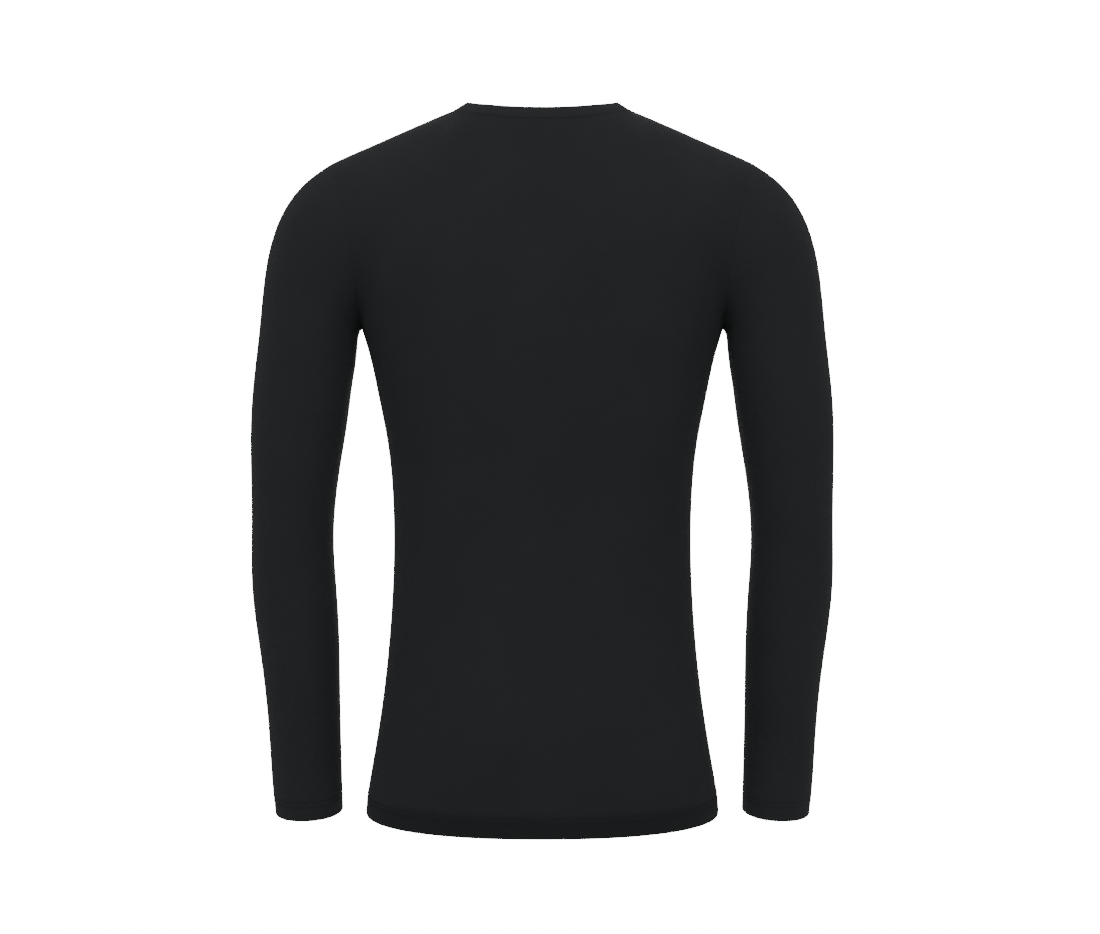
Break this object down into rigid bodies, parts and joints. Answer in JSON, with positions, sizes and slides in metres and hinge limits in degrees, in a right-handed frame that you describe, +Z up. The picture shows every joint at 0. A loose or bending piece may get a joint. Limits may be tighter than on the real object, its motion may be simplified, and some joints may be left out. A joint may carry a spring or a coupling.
{
  "type": "base layer top",
  "caption": "Close-fitting long-sleeved crew-neck top in plain black knit, filled out and hollow, open at neck, hem and cuffs.",
  "frame": {"origin": "where a wearer's shoulders hold the top up: midway between the two points where the shoulder seams meet the neckband", "axes": "+Z up, -Y towards the front of the top, +X towards the wearer's left"},
  "size_m": [0.5554, 0.2226, 0.6863],
  "materials": {
    "knit": "matt black stretch knit, lightly brushed",
    "neckband_knit": "the same black knit, folded double"
  },
  "bodies": {
    "root": {"back_panel": "knit", "front_panel": "knit", "sleeve_left": "knit", "sleeve_right": "knit", "neckband": "neckband_knit"}
  },
  "joints": []
}
